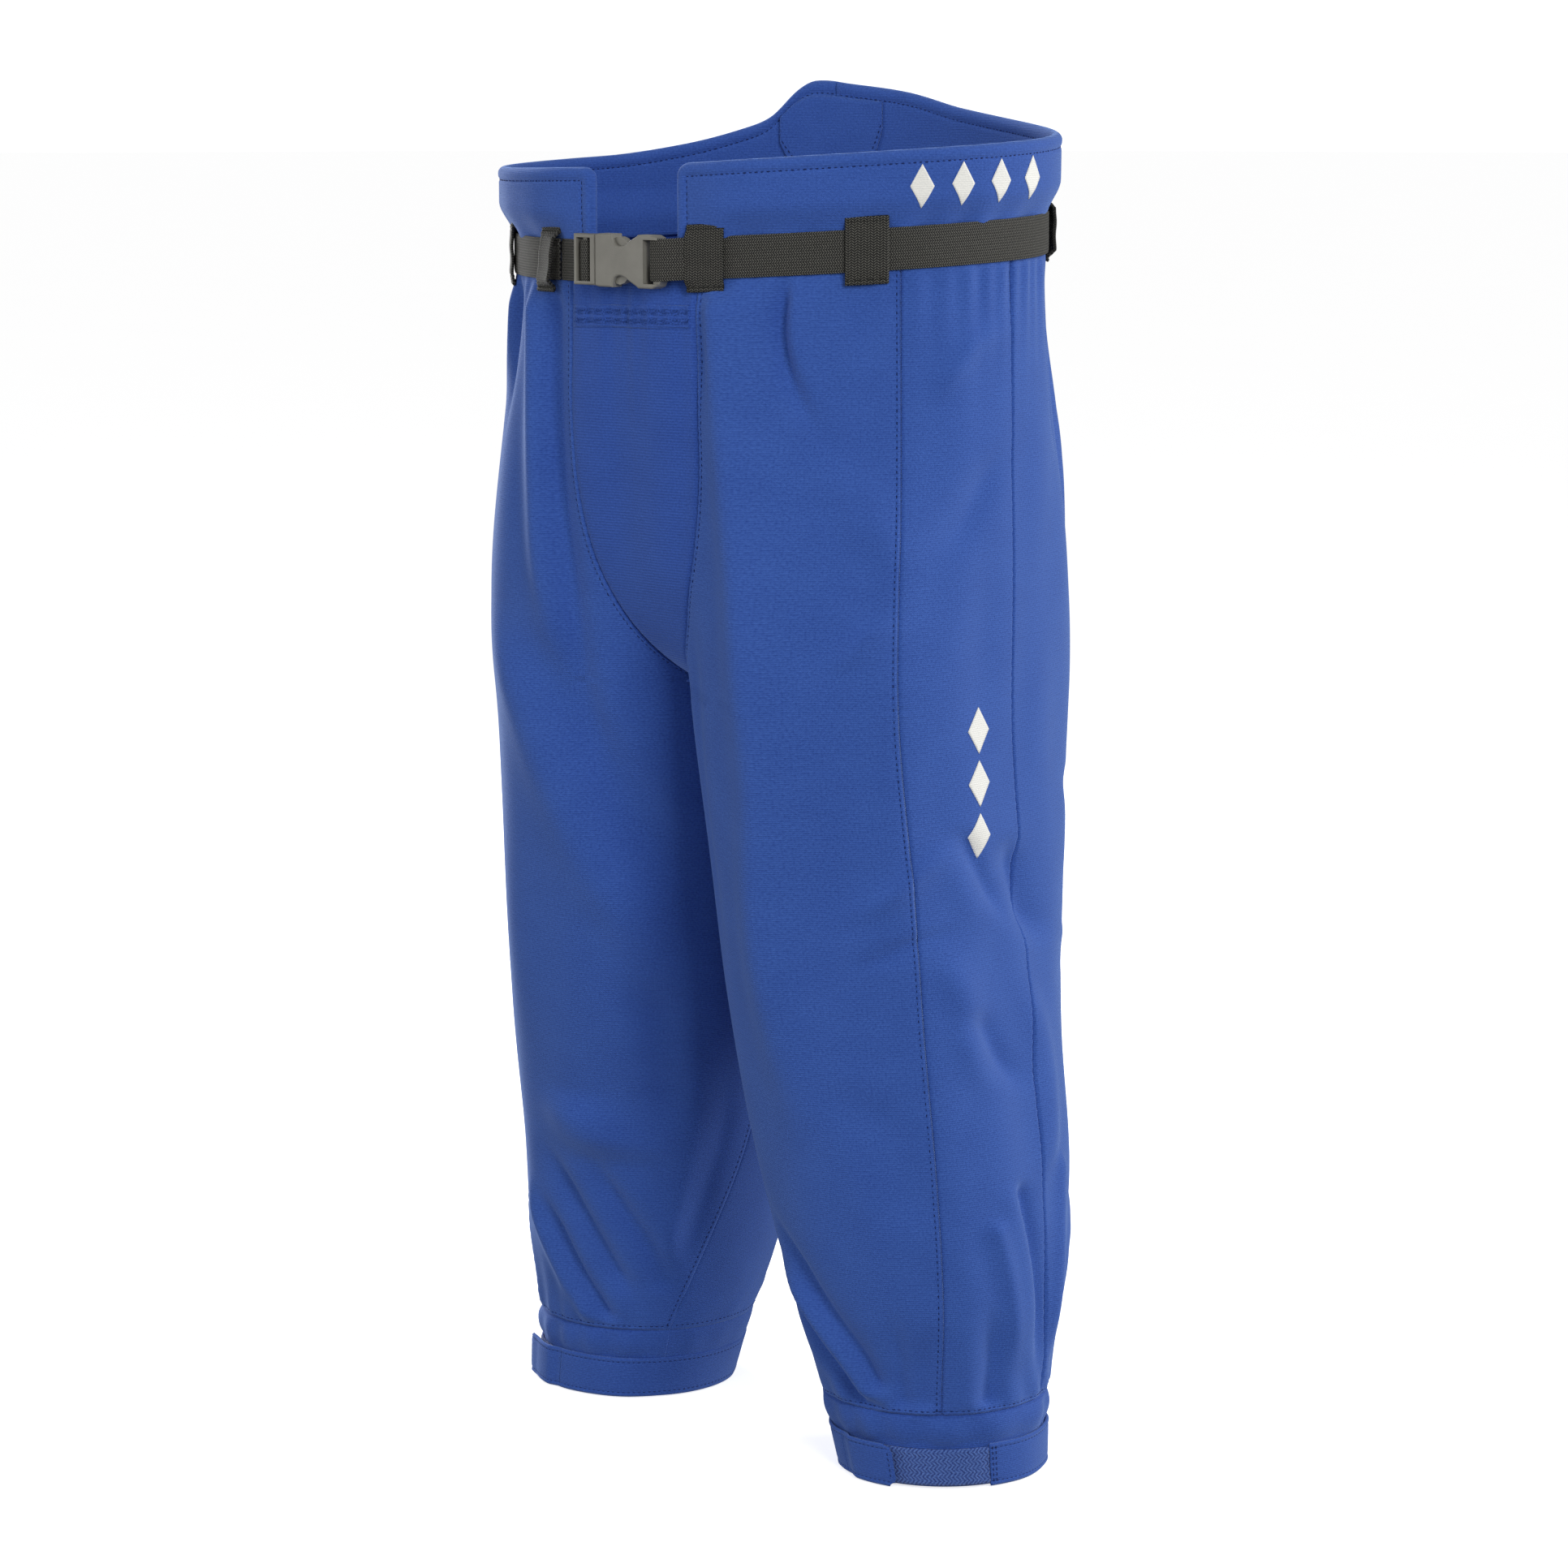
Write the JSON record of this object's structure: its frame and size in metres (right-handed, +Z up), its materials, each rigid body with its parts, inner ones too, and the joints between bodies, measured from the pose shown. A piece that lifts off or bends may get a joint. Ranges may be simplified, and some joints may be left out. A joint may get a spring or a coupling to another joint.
{
  "type": "hockey pants",
  "caption": "Belted below-knee hockey pants: knit legs with side panels, tall padded open-front waistband, webbing belt with side-release buckle, tabbed cuffs.",
  "frame": {"origin": "centre of the waist, level with the belt", "axes": "+Z up the body, -Y to the front, +X to the wearer's left"},
  "size_m": [0.412, 0.2938, 0.8443],
  "materials": {
    "knit": "fine ribbed polyester knit",
    "band_knit": "brushed polyester knit over foam",
    "webbing": "woven polypropylene webbing",
    "hook_and_loop": "looped and hooked nylon tape",
    "elastic": "gathered elastic stitched in zigzag",
    "foam": "soft foam",
    "print": "matt heat-transfer film",
    "buckle_plastic": "fine-textured moulded acetal"
  },
  "bodies": {
    "pelvis": {"belt_loop_back_centre": "webbing", "belt_loop_left_back": "webbing", "belt_loop_left_front": "webbing", "belt_loop_left_side": "webbing", "belt_loop_right_back": "webbing", "belt_loop_right_front": "webbing", "belt_loop_right_side": "webbing", "belt_webbing_front": "webbing", "belt_webbing_left": "webbing", "belt_webbing_right": "webbing", "buckle_socket": "buckle_plastic", "crotch_gusset": "knit", "front_elastic": "elastic", "front_gusset": "knit", "left_hip_back_panel": "knit", "left_hip_front_panel": "knit", "left_hip_side_panel": "knit", "right_hip_back_panel": "knit", "right_hip_front_panel": "knit", "right_hip_side_panel": "knit", "waistband_back_facing": "band_knit", "waistband_left_cover": "band_knit", "waistband_left_foam": "foam", "waistband_left_lining": "band_knit", "waistband_print": "print", "waistband_right_cover": "band_knit", "waistband_right_foam": "foam", "waistband_right_lining": "band_knit"},
    "left_leg": {"left_cuff_band": "knit", "left_cuff_loop_tape": "hook_and_loop", "left_cuff_strap": "knit", "left_leg_back_panel": "knit", "left_leg_front_panel": "knit", "left_leg_print": "print", "left_leg_side_panel": "knit", "left_thigh_bend": "knit"},
    "right_leg": {"right_cuff_band": "knit", "right_cuff_loop_tape": "hook_and_loop", "right_cuff_strap": "knit", "right_leg_back_panel": "knit", "right_leg_front_panel": "knit", "right_leg_side_panel": "knit", "right_thigh_bend": "knit"},
    "left_tab": {"left_cuff_tab": "knit", "left_tab_hook_tape": "hook_and_loop"},
    "right_tab": {"right_cuff_tab": "knit", "right_tab_hook_tape": "hook_and_loop"},
    "insert": {"buckle_insert": "buckle_plastic"},
    "upper_prong": {"buckle_prong_upper": "buckle_plastic"},
    "lower_prong": {"buckle_prong_lower": "buckle_plastic"}
  },
  "joints": [
    {"name": "left_hip_swing", "type": "hinge", "parent": "pelvis", "child": "left_leg", "pos_m": [0.09, -0.0122, -0.145], "axis": [-1, 0, 0], "range_deg": [-15, 45], "deforming": ["left_thigh_bend", "left_leg_print"]},
    {"name": "right_hip_swing", "type": "hinge", "parent": "pelvis", "child": "right_leg", "pos_m": [-0.09, 0.0122, -0.145], "axis": [-1, 0, 0], "range_deg": [-15, 45], "deforming": ["right_thigh_bend"]},
    {"name": "left_tab_peel", "type": "hinge", "parent": "left_leg", "child": "left_tab", "pos_m": [0.1122, -0.0778, -0.732], "axis": [0, 0, -1], "range_deg": [0, 120]},
    {"name": "right_tab_peel", "type": "hinge", "parent": "right_leg", "child": "right_tab", "pos_m": [-0.1507, -0.0526, -0.732], "axis": [0, 0, 1], "range_deg": [0, 120]},
    {"name": "buckle_release", "type": "slide", "parent": "pelvis", "child": "insert", "axis": [-1, 0, 0], "range_m": [0, 0.022], "deforming": ["belt_webbing_front", "buckle_prong_upper", "buckle_prong_lower"]},
    {"name": "upper_prong_squeeze", "type": "hinge", "parent": "insert", "child": "upper_prong", "pos_m": [-0.015, -0.1515, 0.005], "axis": [0, 1, 0], "range_deg": [0, 8], "stiffness_Nm_per_rad": 0.05},
    {"name": "lower_prong_squeeze", "type": "hinge", "parent": "insert", "child": "lower_prong", "pos_m": [-0.015, -0.1515, -0.011], "axis": [0, -1, 0], "range_deg": [0, 8], "stiffness_Nm_per_rad": 0.05}
  ],
  "couplings": [
    {"joint": "lower_prong_squeeze", "follows": "upper_prong_squeeze", "ratio": 1}
  ]
}
